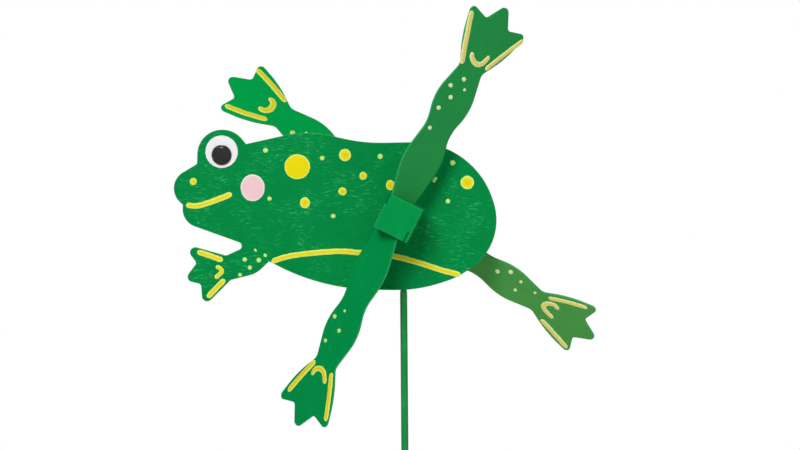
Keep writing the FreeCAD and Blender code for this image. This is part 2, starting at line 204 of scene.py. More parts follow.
# Where the camera looks, in millimetres from the axle.
LOOK_ASIDE = -1.5
LOOK_BELOW = 5.2


def plate_frame():
    """From millimetres on the frog's front to the frame."""
    origin = Matrix.Translation((AXLE.x, PLATE_FRONT, AXLE.z))
    upright = Matrix.Rotation(math.radians(90), 4, "X")
    return origin @ upright @ Matrix.Scale(MM, 4)


def leg_frame(leg):
    """From millimetres on the front of a leg to the frame."""
    low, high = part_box(leg.hub)
    hub_middle = Matrix.Translation((AXLE.x, (low.y + high.y) / 2, AXLE.z))
    turn = Matrix.Rotation(-math.radians(leg.turn), 4, "Y")
    pitch = Matrix.Rotation(math.radians(LEG_PITCH), 4, "X")
    hub_end = Vector((HUB_SIDE / 2 / MM, 0, 0))
    on_face = leg.offset + LEG_THICKNESS / 2
    glued = Matrix.Translation(hub_end + Vector((0, leg.aside, on_face)))
    glued = glued @ Matrix.Rotation(math.radians(leg.lean), 4, "Z") @ Matrix.Translation(-hub_end)
    return hub_middle @ turn @ pitch @ Matrix.Scale(MM, 4) @ glued


# Settings that a user would change.
def colour(name, description, value):
    return FloatVectorProperty(
        name=name, description=description, default=value, size=3, min=0.0, max=1.0,
        subtype="COLOR")


class FrogPaint(bpy.types.PropertyGroup):
    """Colours of the paints."""

    body: colour("Body", "Green of the frog's body", (0.0, 0.277, 0.062))
    hub: colour("Hubs", "Green of the two wooden cubes", (0.0, 0.318, 0.07))
    stick: colour("Stick", "Green of the stick", (0.02, 0.295, 0.075))
    # Painted light: each leg's green is set lighter than the body's, and the front upper and rear
    # lower legs' greens yellower too. This stands in for the light and the pale sheen that fall on
    # each pitched leg.
    front_upper_leg: colour("Front upper leg", "Green of this leg", (0.024, 0.345, 0.078))
    front_lower_leg: colour("Front lower leg", "Green of this leg", (0.0, 0.315, 0.074))
    rear_upper_leg: colour("Rear upper leg", "Green of this leg", (0.0, 0.43, 0.084))
    rear_lower_leg: colour("Rear lower leg", "Green of this leg", (0.087, 0.4, 0.082))
    yellow: colour("Yellow", "Dots and strokes", (0.95, 0.79, 0.0))
    speck: colour("Specks", "Small pale dots", (0.64, 0.95, 0.24))
    cheek: colour("Cheek", "Round cheek", (0.99, 0.66, 0.69))


class FrogMarks(bpy.types.PropertyGroup):
    """How the marks were put on."""

    height: FloatProperty(
        name="Paint height", description="How far a mark stands up, in millimetres",
        default=0.28, min=0.05, max=1.0)
    wobble: FloatProperty(
        name="Wobble", description="How uneven the hand was, in millimetres",
        default=0.22, min=0.0, max=1.0)
    step: FloatProperty(
        name="Step", description="Distance between a stroke's cross-sections, in millimetres",
        default=0.3, min=0.1, max=2.0)
    taper: FloatProperty(
        name="Taper", description="How long a stroke's end is, in half widths of the brush",
        default=1.3, min=0.5, max=5.0)
    seed: IntProperty(name="Seed", description="Chooses the unevenness", default=7)


class FrogStudio(bpy.types.PropertyGroup):
    """Camera and light."""

    azimuth: FloatProperty(
        name="Azimuth", description="Camera to the right of the frog's front",
        default=math.radians(4.12), subtype="ANGLE")
    elevation: FloatProperty(
        name="Elevation", description="Camera above the axle",
        default=math.radians(2.81), subtype="ANGLE")
    roll: FloatProperty(
        name="Roll", description="Turn of the camera about its view",
        default=math.radians(-0.46), subtype="ANGLE")
    distance: FloatProperty(
        name="Distance", description="Camera to the frog", default=1.179, unit="LENGTH")
    lens: FloatProperty(name="Lens", description="Focal length", default=96.0, unit="CAMERA")
    key_power: FloatProperty(
        name="Main lamp", description="Lamp at the upper left", default=10.6, unit="POWER")
    fill_power: FloatProperty(
        name="Fill lamp", description="Broad lamp at the right", default=3.0, unit="POWER")
    back_power: FloatProperty(
        name="Back lamp", description="Lamp behind the frog", default=7.0, unit="POWER")
    ambient: FloatProperty(
        name="Ambient", description="Light from all round", default=0.12, min=0.0)


# Node helpers.
def link(tree, source, target):
    tree.links.new(source, target)


def add_node(tree, kind, name, place, **settings):
    """A named node at a place in the tree, with some of its settings changed."""
    node = tree.nodes.new(kind)
    node.name = node.label = name
    node.location = place
    for key, value in settings.items():
        setattr(node, key, value)
    return node


def set_inputs(node, **values):
    """Plain values for a node's sockets, with spaces in their names as underscores."""
    for key, value in values.items():
        node.inputs[key.replace("_", " ")].default_value = value


def fill_sockets(tree, sockets, values):
    """Each value, a plain one or another node's output, for its socket in turn."""
    for socket, value in zip(sockets, values):
        if isinstance(value, bpy.types.NodeSocket):
            link(tree, value, socket)
        else:
            socket.default_value = value


def math_node(tree, operation, name, place, *values):
    """A Math node on numbers or sockets."""
    node = add_node(tree, "ShaderNodeMath", name, place, operation=operation)
    fill_sockets(tree, node.inputs, values)
    return node.outputs[0]


def vector_node(tree, operation, name, place, *values):
    """A Vector Math node on vectors or sockets."""
    node = add_node(tree, "ShaderNodeVectorMath", name, place, operation=operation)
    fill_sockets(tree, node.inputs, values)
    return node.outputs["Value" if operation == "LENGTH" else "Vector"]


def vector_of(tree, name, place, *parts):
    """A vector from its X, Y and Z."""
    node = add_node(tree, "ShaderNodeCombineXYZ", name, place)
    fill_sockets(tree, node.inputs, parts)
    return node.outputs[0]


def map_range(tree, name, place, value, **limits):
    """A Map Range node, from 0 to 1 where no limit is given."""
    node = add_node(tree, "ShaderNodeMapRange", name, place)
    set_inputs(node, **limits)
    link(tree, value, node.inputs["Value"])
    return node.outputs[0]


def add_relief(tree, shader, height, strength, distance):
    """Bumps that a height gives a surface."""
    bump = add_node(tree, "ShaderNodeBump", "Relief", (100, -400))
    set_inputs(bump, Strength=strength, Distance=distance)
    link(tree, height, bump.inputs["Height"])
    link(tree, bump.outputs[0], shader.inputs["Normal"])


def mix_colours(tree, name, place, factor, first, second):
    """A colour between two, which may be sockets or plain colours."""
    node = add_node(tree, "ShaderNodeMix", name, place, data_type="RGBA")
    link(tree, factor, node.inputs["Factor"])
    colour_inputs = [s for s in node.inputs if s.type == "RGBA"]
    for socket, value in zip(colour_inputs, (first, second)):
        if isinstance(value, bpy.types.NodeSocket):
            link(tree, value, socket)
        else:
            socket.default_value = (*value[:3], 1.0)
    return next(s for s in node.outputs if s.type == "RGBA")


def seen_or_reflected(tree, place):
    """1 for the rays that show something to the camera, straight, by a gloss or through glass."""
    x, y = place
    ray = add_node(tree, "ShaderNodeLightPath", "Ray", (x, y))
    seen = math_node(
        tree, "ADD", "Seen", (x + 200, y),
        ray.outputs["Is Camera Ray"], ray.outputs["Is Glossy Ray"])
    seen = math_node(
        tree, "ADD", "Seen or through glass", (x + 350, y),
        seen, ray.outputs["Is Transmission Ray"])
    return math_node(tree, "MINIMUM", "Once", (x + 500, y), seen, 1.0)


def brushed_paint_group():
    """Craft paint put on with a brush: streaks along X, paler flecks on its ridges, uneven cover,
    and paler edges, partly paint worn thin and partly a painted highlight along them."""
    existing = bpy.data.node_groups.get("Brushed paint")
    if existing:
        return existing
    tree = bpy.data.node_groups.new("Brushed paint", "ShaderNodeTree")
    sockets = tree.interface
    sockets.new_socket("Vector", in_out="INPUT", socket_type="NodeSocketVector")
    paint = sockets.new_socket("Paint", in_out="INPUT", socket_type="NodeSocketColor")
    paint.default_value = (0.0, 0.27, 0.055, 1.0)
    for name, value in (
        ("Streak length", 0.02),
        ("Streak width", 0.0016),
        ("Unevenness", 0.25),
        ("Flecks", 0.5),
        ("Edge", 0.0),
    ):
        socket = sockets.new_socket(name, in_out="INPUT", socket_type="NodeSocketFloat")
        socket.default_value = value
    sockets.new_socket("Color", in_out="OUTPUT", socket_type="NodeSocketColor")
    sockets.new_socket("Height", in_out="OUTPUT", socket_type="NodeSocketFloat")
    sockets.new_socket("Roughness", in_out="OUTPUT", socket_type="NodeSocketFloat")

    given = add_node(tree, "NodeGroupInput", "Given", (-1400, 0))
    result = add_node(tree, "NodeGroupOutput", "Result", (1000, 0))

    # Streaks: noise squeezed to the brush's width and drawn out along X.
    along = math_node(
        tree, "DIVIDE", "Along", (-1200, 200), 1.0, given.outputs["Streak length"])
    across = math_node(
        tree, "DIVIDE", "Across", (-1200, 0), 1.0, given.outputs["Streak width"])
    squeeze = vector_of(tree, "Squeeze", (-1000, 100), along, across, across)

    # The hand's path is wavy, so the noise's place is pushed about by a slow noise first.
    sway = add_node(tree, "ShaderNodeTexNoise", "Sway", (-1200, -250))
    set_inputs(sway, Scale=70.0, Detail=1.0)
    link(tree, given.outputs["Vector"], sway.inputs["Vector"])
    centred = vector_node(
        tree, "SUBTRACT", "Sway centred", (-1000, -250), sway.outputs["Color"], (0.5, 0.5, 0.5))
    swayed = vector_node(
        tree, "MULTIPLY_ADD", "Swayed place", (-800, -250),
        centred, (0.006, 0.006, 0.006), given.outputs["Vector"])
    drawn = vector_node(tree, "MULTIPLY", "Drawn out", (-600, 100), swayed, squeeze)

    streaks = add_node(tree, "ShaderNodeTexNoise", "Streaks", (-400, 200))
    set_inputs(streaks, Scale=1.0, Detail=3.0, Roughness=0.62, Distortion=0.35)
    link(tree, drawn, streaks.inputs["Vector"])
    patches = add_node(tree, "ShaderNodeTexNoise", "Patches", (-400, -50))
    set_inputs(patches, Scale=42.0, Detail=2.0, Roughness=0.55)
    link(tree, swayed, patches.inputs["Vector"])

    # Flecks: the highest ridges, kept to patches where the brush was drier.
    ridge = map_range(
        tree, "Ridges", (-150, 350), streaks.outputs["Fac"], From_Min=0.57, From_Max=0.66)
    dry = map_range(
        tree, "Dry brush", (-150, 50), patches.outputs["Fac"], From_Min=0.45, From_Max=0.58)
    fleck = math_node(tree, "MULTIPLY", "Fleck", (50, 300), ridge, dry)
    fleck = math_node(tree, "MULTIPLY", "Fleck amount", (220, 300), fleck, given.outputs["Flecks"])

    # Cover: streaks and patches make the green a little deeper or lighter.
    both = math_node(tree, "ADD", "Cover", (50, 0), streaks.outputs["Fac"], patches.outputs["Fac"])
    cover = math_node(tree, "SUBTRACT", "Cover centred", (220, 0), both, 1.0)
    cover = math_node(
        tree, "MULTIPLY", "Cover amount", (390, 0), cover, given.outputs["Unevenness"])
    value = math_node(tree, "ADD", "Cover as value", (560, 0), cover, 1.0)
    shaded = add_node(tree, "ShaderNodeHueSaturation", "Shaded paint", (560, -200))
    link(tree, value, shaded.inputs["Value"])
    link(tree, given.outputs["Paint"], shaded.inputs["Color"])
    # The edges are painted paler: partly paint worn thin there, partly a painted highlight along
    # them.
    edge = math_node(tree, "MULTIPLY", "Worn and highlit edge", (390, 450), given.outputs["Edge"], value)
    edge = math_node(tree, "MULTIPLY", "Thin cover and highlight", (560, 450), edge, 0.6)
    pale = math_node(tree, "MAXIMUM", "Pale", (680, 350), fleck, edge)
    painted = mix_colours(
        tree, "Flecked paint", (780, 200), pale, shaded.outputs["Color"], (0.05, 0.5, 0.16))
    link(tree, painted, result.inputs["Color"])

    link(tree, streaks.outputs["Fac"], result.inputs["Height"])
    rough = map_range(
        tree, "Sheen", (560, -400), patches.outputs["Fac"], To_Min=0.42, To_Max=0.62)
    link(tree, rough, result.inputs["Roughness"])
    return tree


def new_material(name):
    """An empty material with a Principled shader. Returns its tree and the shader too."""
    material = bpy.data.materials.new(name)
    material.use_nodes = True
    tree = material.node_tree
    tree.nodes.clear()
    shader = add_node(tree, "ShaderNodeBsdfPrincipled", "Surface", (400, 0))
    output = add_node(tree, "ShaderNodeOutputMaterial", "Output", (700, 0))
    link(tree, shader.outputs[0], output.inputs["Surface"])
    return material, tree, shader


def object_place(tree, to_local=None):
    """Object coordinates, turned to lie along a piece where its matrix is given."""
    coordinates = add_node(tree, "ShaderNodeTexCoord", "Place", (-900, 0))
    if to_local is None:
        return coordinates.outputs["Object"]
    mapping = add_node(tree, "ShaderNodeMapping", "Along the piece", (-700, 0))
    link(tree, coordinates.outputs["Object"], mapping.inputs["Vector"])
    mapping.inputs["Location"].default_value = to_local.translation
    mapping.inputs["Rotation"].default_value = to_local.to_euler()
    return mapping.outputs[0]


class Edges(NamedTuple):
    """Where a piece's softened edges lie: between two distances from its middle plane, or, for a
    block, from the two middle planes that are farthest off."""

    to_middle: Matrix
    starts: float
    full: float
    block: bool = False


def flat_edges(to_face, thickness):
    """The softened edges of a flat piece, from its front face."""
    to_middle = Matrix.Translation((0, 0, thickness / 2)) @ to_face
    return Edges(to_middle, thickness / 2 - 0.004 * MM, thickness / 2 - 0.05 * MM)


def edge_mask(tree, edges):
    """1 on a piece's softened edges and 0 on its faces."""
    place = object_place(tree, edges.to_middle)
    size = vector_node(tree, "ABSOLUTE", "Without sign", (-500, 400), place)
    parts = add_node(tree, "ShaderNodeSeparateXYZ", "Each way", (-350, 400))
    link(tree, size, parts.inputs[0])
    x, y, off = parts.outputs
    if edges.block:
        larger = math_node(tree, "MAXIMUM", "Larger", (-200, 600), x, y)
        smaller = math_node(tree, "MINIMUM", "Smaller", (-200, 450), x, y)
        off = math_node(tree, "MINIMUM", "Not the largest", (-50, 550), larger, off)
        off = math_node(tree, "MAXIMUM", "Second largest", (100, 500), smaller, off)
    return map_range(
        tree, "Edge", (250, 400), off, From_Min=edges.starts, From_Max=edges.full)


def paint_material(name, paint, to_local=None, length=0.02, width=0.0016, uneven=0.25, flecks=0.5,
                   relief=0.00012, edges=None):
    """Green craft paint on wood."""
    material, tree, shader = new_material(name)
    group = add_node(tree, "ShaderNodeGroup", "Brushed paint", (-300, 0))
    group.node_tree = brushed_paint_group()
    link(tree, object_place(tree, to_local), group.inputs["Vector"])
    group.inputs["Paint"].default_value = (*paint, 1.0)
    group.inputs["Streak length"].default_value = length
    group.inputs["Streak width"].default_value = width
    group.inputs["Unevenness"].default_value = uneven
    group.inputs["Flecks"].default_value = flecks
    if edges:
        link(tree, edge_mask(tree, edges), group.inputs["Edge"])
    link(tree, group.outputs["Color"], shader.inputs["Base Color"])
    link(tree, group.outputs["Roughness"], shader.inputs["Roughness"])
    add_relief(tree, shader, group.outputs["Height"], 0.8, relief)
    set_inputs(shader, Specular_IOR_Level=0.03)
    return material


def mark_material(name, paint, rim, centre, thin, full, core):
    """Thick paint of a mark. The rim's colour lasts up to a thin coat, the paint's own begins at a
    full one, and the centre's is where the coat is thickest, from core on."""
    material, tree, shader = new_material(name)
    coat = add_node(tree, "ShaderNodeAttribute", "Coat", (-700, 0), attribute_name="coat")
    thick = map_range(
        tree, "Thick coat", (-450, 0), coat.outputs["Fac"], From_Min=thin, From_Max=full)
    thickest = map_range(
        tree, "Thickest coat", (-450, -250), coat.outputs["Fac"], From_Min=core, From_Max=1.0)
    body = mix_colours(tree, "Rim to paint", (-200, 0), thick, rim, paint)
    whole = mix_colours(tree, "Paint to centre", (50, 0), thickest, body, centre)
    link(tree, whole, shader.inputs["Base Color"])
    grain = add_node(tree, "ShaderNodeTexNoise", "Brush grain", (-450, -500))
    set_inputs(grain, Scale=900.0, Detail=2.0)
    link(tree, object_place(tree), grain.inputs["Vector"])
    add_relief(tree, shader, grain.outputs["Fac"], 0.5, 0.00006)
    set_inputs(shader, Roughness=0.45, Specular_IOR_Level=0.1)
    return material


def plain_material(name, base, roughness, metallic=0.0, specular=0.5, relief=0.00002):
    """A plain finish with a fine grain in its surface."""
    material, tree, shader = new_material(name)
    set_inputs(
        shader, Base_Color=(*base, 1.0), Metallic=metallic, Specular_IOR_Level=specular)
    grain = add_node(tree, "ShaderNodeTexNoise", "Grain", (-500, -200))
    set_inputs(grain, Scale=600.0, Detail=2.0)
    link(tree, object_place(tree), grain.inputs["Vector"])
    rough = map_range(
        tree, "Polish", (-250, 0), grain.outputs["Fac"],
        To_Min=roughness - 0.05, To_Max=roughness + 0.08)
    link(tree, rough, shader.inputs["Roughness"])
    add_relief(tree, shader, grain.outputs["Fac"], 0.4, relief)
    return material


def give(node, material):
    """Put a material on every slot of a CAD node."""
    slots = NODES[node].material_slots
    if not slots:
        NODES[node].data.materials.append(material)
    for slot in slots:
        slot.material = material


# Geometry Nodes trees for the marks.
def tree_with_inputs(name, inputs):
    """A new geometry tree with a geometry input and output and some named inputs."""
    tree = bpy.data.node_groups.new(name, "GeometryNodeTree")
    tree.interface.new_socket("Geometry", in_out="INPUT", socket_type="NodeSocketGeometry")
    for label, kind, value in inputs:
        socket = tree.interface.new_socket(label, in_out="INPUT", socket_type=kind)
        if value is not None:
            socket.default_value = value
    tree.interface.new_socket("Geometry", in_out="OUTPUT", socket_type="NodeSocketGeometry")
    given = add_node(tree, "NodeGroupInput", "Given", (-1600, 0))
    result = add_node(tree, "NodeGroupOutput", "Result", (1800, 0))
    return tree, given, result


def named_value(tree, name, place):
    """A number stored on each point."""
    node = add_node(tree, "GeometryNodeInputNamedAttribute", name, place, data_type="FLOAT")
    node.inputs["Name"].default_value = name
    return node.outputs["Attribute"]


def finish_tree(tree, geometry, given, result):
    """Smooth shading, real geometry and the material, at the end of a tree."""
    smooth = add_node(tree, "GeometryNodeSetShadeSmooth", "Smooth", (1200, 0))
    link(tree, geometry, smooth.inputs["Geometry"])
    real = add_node(tree, "GeometryNodeRealizeInstances", "Real geometry", (1400, 0))
    link(tree, smooth.outputs[0], real.inputs["Geometry"])
    paint = add_node(tree, "GeometryNodeSetMaterial", "Paint", (1600, 0))
    link(tree, real.outputs[0], paint.inputs["Geometry"])
    link(tree, given.outputs["Material"], paint.inputs["Material"])
    link(tree, paint.outputs[0], result.inputs["Geometry"])


def hand_wobble(tree, geometry, given, place):
    """Push the outline about a little, in the plane of the piece."""
    x, y = place
    noise = add_node(tree, "ShaderNodeTexNoise", "Unsteady hand", (x - 400, y - 250))
    noise.noise_dimensions = "4D"
    set_inputs(noise, Scale=0.45, Detail=1.0)
    where = add_node(tree, "GeometryNodeInputPosition", "Where", (x - 600, y - 250))
    link(tree, where.outputs[0], noise.inputs["Vector"])
    link(tree, given.outputs["Seed"], noise.inputs["W"])
    centred = vector_node(
        tree, "SUBTRACT", "Both ways", (x - 200, y - 250),
        noise.outputs["Color"], (0.5, 0.5, 0.5))
    doubled = math_node(
        tree, "MULTIPLY", "Twice", (x - 400, y - 500), given.outputs["Wobble"], 2.0)
    reach = vector_of(tree, "In the plane", (x - 200, y - 450), doubled, doubled)
    offset = vector_node(tree, "MULTIPLY", "Push", (x, y - 250), centred, reach)
    moved = add_node(tree, "GeometryNodeSetPosition", "Pushed", (x + 200, y))
    link(tree, geometry, moved.inputs["Geometry"])
    link(tree, offset, moved.inputs["Offset"])
    return moved.outputs[0]


def dot_tree():
    """A low dome of paint on every point."""
    existing = bpy.data.node_groups.get("Paint dots")
    if existing:
        return existing
    tree, given, result = tree_with_inputs("Paint dots", [
        ("Paint height", "NodeSocketFloat", 0.28),
        ("Wobble", "NodeSocketFloat", 0.22),
        ("Seed", "NodeSocketInt", 7),
        ("Material", "NodeSocketMaterial", None),
    ])
    ball = add_node(tree, "GeometryNodeMeshUVSphere", "Dab", (-1300, -300))
    set_inputs(ball, Segments=28, Rings=14, Radius=1.0)
    where = add_node(tree, "GeometryNodeInputPosition", "Where on the dab", (-1300, -550))
    parts = add_node(tree, "ShaderNodeSeparateXYZ", "Height on the dab", (-1100, -550))
    link(tree, where.outputs[0], parts.inputs[0])
    coat = add_node(
        tree, "GeometryNodeStoreNamedAttribute", "Coat", (-900, -300),
        data_type="FLOAT", domain="POINT")
    coat.inputs["Name"].default_value = "coat"
    link(tree, ball.outputs["Mesh"], coat.inputs["Geometry"])
    link(tree, parts.outputs["Z"], coat.inputs["Value"])

    radius = named_value(tree, "radius", (-1300, -800))
    tall = named_value(tree, "tall", (-1300, -950))
    high = math_node(tree, "MULTIPLY", "Taller", (-1100, -850), radius, tall)
    scale = vector_of(
        tree, "Dab size", (-900, -800), radius, high, given.outputs["Paint height"])

    dabs = add_node(tree, "GeometryNodeInstanceOnPoints", "Dabs", (-500, 0))
    link(tree, given.outputs["Geometry"], dabs.inputs["Points"])
    link(tree, coat.outputs[0], dabs.inputs["Instance"])
    link(tree, scale, dabs.inputs["Scale"])
    real = add_node(tree, "GeometryNodeRealizeInstances", "Dabs as one", (-250, 0))
    link(tree, dabs.outputs[0], real.inputs["Geometry"])
    moved = hand_wobble(tree, real.outputs[0], given, (500, 0))
    finish_tree(tree, moved, given, result)
    return tree


def stroke_tree():
    """A ridge of paint along every line, with round ends."""
    existing = bpy.data.node_groups.get("Paint strokes")
    if existing:
        return existing
    tree, given, result = tree_with_inputs("Paint strokes", [
        ("Paint height", "NodeSocketFloat", 0.28),
        ("Wobble", "NodeSocketFloat", 0.22),
        ("Step", "NodeSocketFloat", 0.3),
        ("Taper", "NodeSocketFloat", 1.3),
        ("Seed", "NodeSocketInt", 7),
        ("Material", "NodeSocketMaterial", None),
    ])
    lines = add_node(tree, "GeometryNodeMeshToCurve", "Lines", (-1400, 0))
    link(tree, given.outputs["Geometry"], lines.inputs["Mesh"])
    curved = add_node(
        tree, "GeometryNodeCurveSplineType", "Smooth path", (-1200, 0), spline_type="CATMULL_ROM")
    link(tree, lines.outputs[0], curved.inputs["Curve"])
    even = add_node(tree, "GeometryNodeResampleCurve", "Even steps", (-1000, 0))
    even.mode = "LENGTH"
    link(tree, curved.outputs[0], even.inputs["Curve"])
    link(tree, given.outputs["Step"], even.inputs["Length"])

    # The brush's reach shrinks to nothing over the taper, which is counted in half widths.
    width = named_value(tree, "half_width", (-1400, -300))
    along = add_node(tree, "GeometryNodeSplineParameter", "Along the line", (-1400, -500))
    whole = add_node(tree, "GeometryNodeSplineLength", "Whole line", (-1400, -700))
    left = math_node(
        tree, "SUBTRACT", "Still to go", (-1200, -600),
        whole.outputs["Length"], along.outputs["Length"])
    nearer = math_node(
        tree, "MINIMUM", "To the nearer end", (-1000, -500), along.outputs["Length"], left)
    taper = math_node(
        tree, "MULTIPLY", "Taper length", (-1000, -350), width, given.outputs["Taper"])
    share = math_node(tree, "DIVIDE", "Share of the taper", (-800, -450), nearer, taper)
    inside = math_node(tree, "MINIMUM", "At most one", (-650, -450), share, 1.0)
    back = math_node(tree, "SUBTRACT", "From the round's middle", (-500, -450), 1.0, inside)
    square = math_node(tree, "MULTIPLY", "Squared", (-350, -450), back, back)
    rest = math_node(tree, "SUBTRACT", "Left of one", (-200, -450), 1.0, square)
    root = math_node(tree, "SQRT", "Round end", (-50, -450), rest)
    fade = math_node(tree, "MAXIMUM", "Never nothing", (100, -450), root, 0.04)
    reach = math_node(tree, "MULTIPLY", "Reach", (250, -350), fade, width)

    keep = add_node(tree, "GeometryNodeCaptureAttribute", "Kept along the line", (-300, 0))
    keep.capture_items.new("FLOAT", "Reach")
    keep.capture_items.new("FLOAT", "Fade")
    link(tree, even.outputs[0], keep.inputs["Geometry"])
    link(tree, reach, keep.inputs["Reach"])
    link(tree, fade, keep.inputs["Fade"])
    sized = add_node(tree, "GeometryNodeSetCurveRadius", "Brush width", (-100, 0))
    link(tree, keep.outputs["Geometry"], sized.inputs["Curve"])
    link(tree, keep.outputs["Reach"], sized.inputs["Radius"])
    ring = add_node(tree, "GeometryNodeCurvePrimitiveCircle", "Ring", (-100, -150))
    set_inputs(ring, Resolution=16, Radius=1.0)
    tube = add_node(tree, "GeometryNodeCurveToMesh", "Ridge", (100, 0))
    tube.inputs["Fill Caps"].default_value = True
    link(tree, sized.outputs[0], tube.inputs["Curve"])
    link(tree, ring.outputs["Curve"], tube.inputs["Profile Curve"])
    if "Scale" in tube.inputs:
        link(tree, keep.outputs["Reach"], tube.inputs["Scale"])

    # The round tube is pressed flat: its height follows the paint height instead of the brush.
    where = add_node(tree, "GeometryNodeInputPosition", "Where on the ridge", (100, -600))
    parts = add_node(tree, "ShaderNodeSeparateXYZ", "Height on the ridge", (250, -600))
    link(tree, where.outputs[0], parts.inputs[0])
    sine = math_node(
        tree, "DIVIDE", "Share of the reach", (400, -600),
        parts.outputs["Z"], keep.outputs["Reach"])
    coat_value = math_node(tree, "MULTIPLY", "Coat value", (550, -600), sine, keep.outputs["Fade"])
    height = math_node(
        tree, "MULTIPLY", "New height", (700, -600), coat_value, given.outputs["Paint height"])
    pressed_place = vector_of(
        tree, "Pressed place", (850, -600), parts.outputs["X"], parts.outputs["Y"], height)
    coat = add_node(
        tree, "GeometryNodeStoreNamedAttribute", "Coat", (300, 0),
        data_type="FLOAT", domain="POINT")
    coat.inputs["Name"].default_value = "coat"
    link(tree, tube.outputs[0], coat.inputs["Geometry"])
    link(tree, coat_value, coat.inputs["Value"])
    pressed = add_node(tree, "GeometryNodeSetPosition", "Pressed flat", (500, 0))
    link(tree, coat.outputs[0], pressed.inputs["Geometry"])
    link(tree, pressed_place, pressed.inputs["Position"])
    moved = hand_wobble(tree, pressed.outputs[0], given, (800, 0))
    finish_tree(tree, moved, given, result)
    return tree


def run_tree(name, source, tree, values):
    """Runs a geometry tree on a mesh and returns the result as a plain mesh."""
    holder = bpy.data.objects.new(name, source)
    bpy.context.scene.collection.objects.link(holder)
    modifier = holder.modifiers.new(tree.name, "NODES")
    modifier.node_group = tree
    for item in tree.interface.items_tree:
        if item.item_type == "SOCKET" and item.in_out == "INPUT" and item.name in values:
            modifier[item.identifier] = values[item.name]
    depsgraph = bpy.context.evaluated_depsgraph_get()
    mesh = bpy.data.meshes.new_from_object(holder.evaluated_get(depsgraph), depsgraph=depsgraph)
    holder.modifiers.clear()
    bpy.data.objects.remove(holder)
    mesh.name = name
    return mesh


def store_values(mesh, name, values):
    """A number for each point of a mesh."""
    layer = mesh.attributes.new(name, "FLOAT", "POINT")
    layer.data.foreach_set("value", values)


def mark_values(material, marks):
    """The settings that dots and strokes share."""
    return {
        "Paint height": marks.height,
        "Wobble": marks.wobble,
        "Seed": marks.seed,
        "Material": material,
    }


def dot_mesh(name, dots, material, marks):
    """Dots in a flat piece's own millimetres."""
    source = bpy.data.meshes.new(f"{name}_points")
    source.from_pydata([(dot.x, dot.y, 0.0) for dot in dots], [], [])
    store_values(source, "radius", [dot.radius for dot in dots])
    store_values(source, "tall", [dot.tall for dot in dots])
    return run_tree(name, source, dot_tree(), mark_values(material, marks))


def stroke_mesh(name, strokes, material, marks):
    """Strokes in a flat piece's own millimetres."""
    source = bpy.data.meshes.new(f"{name}_lines")
    places = []
    edges = []
    widths = []
    for stroke in strokes:
        first = len(places)
        places += [(x, y, 0.0) for x, y in stroke.points]
        edges += [(i, i + 1) for i in range(first, len(places) - 1)]
        widths += [stroke.half_width] * len(stroke.points)
    source.from_pydata(places, edges, [])
    store_values(source, "half_width", widths)
    values = mark_values(material, marks)
    values["Step"] = marks.step
    values["Taper"] = marks.taper
    return run_tree(name, source, stroke_tree(), values)


def add_piece(mesh, name, place, body):
    """A finished piece from a mesh in a flat piece's own millimetres."""
    mesh.transform(place)
    mesh.update()
    piece = bpy.data.objects.new(name, mesh)
    bpy.context.scene.collection.objects.link(piece)
    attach(piece, body)
    return piece


def mark_paint(name, colours):
    """The material of a mark, made once: lime or cream at the rim, and often deeper in the middle.

    The pale ones are painted light: lighter copies for the legs that face away from the lamp,
    standing in for the light they don't get.
    """
    existing = bpy.data.materials.get(name)
    if existing:
        return existing
    yellow = colours.yellow
    line = (yellow[0], yellow[1] * 1.1, 0.03)
    line_centre = (yellow[0] * 0.95, yellow[1] * 0.78, 0.02)
    dot_centre = (yellow[0] * 0.94, yellow[1] * 0.8, yellow[2])
    # Of each: the paint, its rim, its centre, and the coats at which those three change.
    paints = {
        "yellow_paint": (yellow, (0.8, 0.98, 0.2), dot_centre, 0.55, 0.8, 0.93),
        "large_yellow_paint": (yellow, (0.8, 0.97, 0.2), yellow, 0.36, 0.48, 0.93),
        "stroke_paint": (line, (0.88, 1.0, 0.26), line_centre, 0.58, 0.85, 0.94),
        "painted_lit_stroke_paint": (
            (1.0, 0.95, 0.24), (1.0, 1.0, 0.52), (1.0, 0.76, 0.17), 0.58, 0.85, 0.92),
        "speck_paint": (colours.speck, (0.5, 0.92, 0.22), (0.86, 0.98, 0.3), 0.35, 0.8, 0.93),
        "painted_lit_speck_paint": (
            (0.97, 1.0, 0.66), (0.75, 1.0, 0.45), (1.0, 1.0, 0.75), 0.35, 0.8, 0.93),
        "pink_paint": (colours.cheek, (0.97, 0.93, 0.8), colours.cheek, 0.38, 0.5, 0.93),
    }
    return mark_material(name, *paints[name])


# Operators, one for each group of pieces.
class FROG_OT_paint_body(bpy.types.Operator):
    """Brush the frog's plywood body"""

    bl_idname = "frog.paint_body"
    bl_label = "Paint body"

    def execute(self, context):
        paint = context.scene.frog_paint.body
        to_plate = (plate_frame() @ Matrix.Scale(1 / MM, 4)).inverted()
        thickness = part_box("body_plate")[1].y - PLATE_FRONT
        give("body_plate", paint_material(
            "body_paint", paint, to_local=to_plate, length=0.0042, width=0.0008, uneven=0.3,
            flecks=0.8, relief=0.00025, edges=flat_edges(to_plate, thickness)))
        return {"FINISHED"}


class FROG_OT_paint_legs(bpy.types.Operator):
    """Brush the four legs, each along its own length"""

    bl_idname = "frog.paint_legs"
    bl_label = "Paint legs"

    def execute(self, context):
        colours = context.scene.frog_paint
        for leg in LEGS:
            to_leg = (leg_frame(leg) @ Matrix.Scale(1 / MM, 4)).inverted()
            give(leg.node, paint_material(
                f"{leg.node}_paint", getattr(colours, leg.node), to_local=to_leg,
                length=0.03, width=0.002, uneven=0.16, flecks=0.12, relief=0.00008,
                edges=flat_edges(to_leg, LEG_THICKNESS * MM)))
        return {"FINISHED"}


